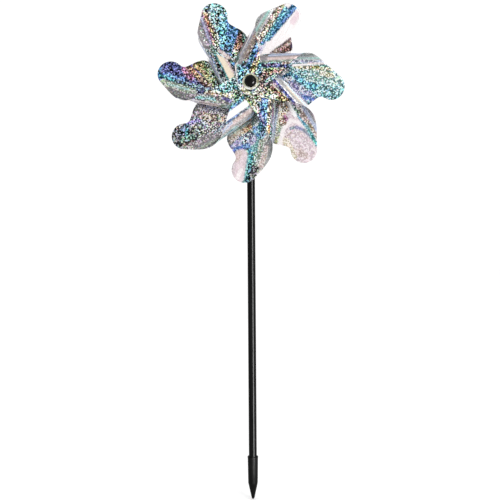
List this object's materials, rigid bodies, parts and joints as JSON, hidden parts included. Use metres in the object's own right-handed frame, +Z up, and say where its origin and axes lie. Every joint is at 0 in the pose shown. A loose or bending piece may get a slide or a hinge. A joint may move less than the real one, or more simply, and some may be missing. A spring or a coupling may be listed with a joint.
{
  "type": "pinwheel",
  "caption": "Garden pinwheel: curled holographic film vanes spin on a pin through a slim black stake with a pointed ground spike.",
  "frame": {"origin": "point of the ground spike, on the stake's axis", "axes": "+Z up along the stake, -Y out of the front of the wheel along its spin axis, +X to the right seen from the front"},
  "size_m": [0.1419, 0.0425, 0.3803],
  "materials": {
    "spike_plastic": "matte moulded",
    "tube_plastic": "gloss extruded",
    "plug_plastic": "satin moulded",
    "axle_steel": "drawn wire",
    "cap_plastic": "gloss moulded",
    "standoff_plastic": "satin moulded",
    "bush_plastic": "ivory moulded",
    "spacer_plastic": "cut tube",
    "film_1": "holographic metallised film with a crushed-glitter pattern",
    "film_2": "holographic metallised film with a crushed-glitter pattern",
    "film_3": "holographic metallised film with a crushed-glitter pattern",
    "film_4": "holographic metallised film with a crushed-glitter pattern",
    "film_5": "holographic metallised film with a crushed-glitter pattern",
    "film_6": "holographic metallised film with a crushed-glitter pattern",
    "film_7": "holographic metallised film with a crushed-glitter pattern"
  },
  "bodies": {
    "stake": {"ground_spike": "spike_plastic", "stake_tube": "tube_plastic", "stake_plug": "plug_plastic", "axle_pin": "axle_steel", "front_cap": "cap_plastic", "rear_cap": "cap_plastic", "standoff_spacer": "standoff_plastic"},
    "wheel": {"hub_bush": "bush_plastic", "hub_retainer": "bush_plastic", "hub_spacer": "spacer_plastic", "vane_1": "film_1", "vane_2": "film_2", "vane_3": "film_3", "vane_4": "film_4", "vane_5": "film_5", "vane_6": "film_6", "vane_7": "film_7"}
  },
  "joints": [
    {"name": "wheel_spin", "type": "hinge", "parent": "stake", "child": "wheel", "pos_m": [0, -0.018, 0.315], "axis": [0, -1, 0], "continuous": true}
  ]
}
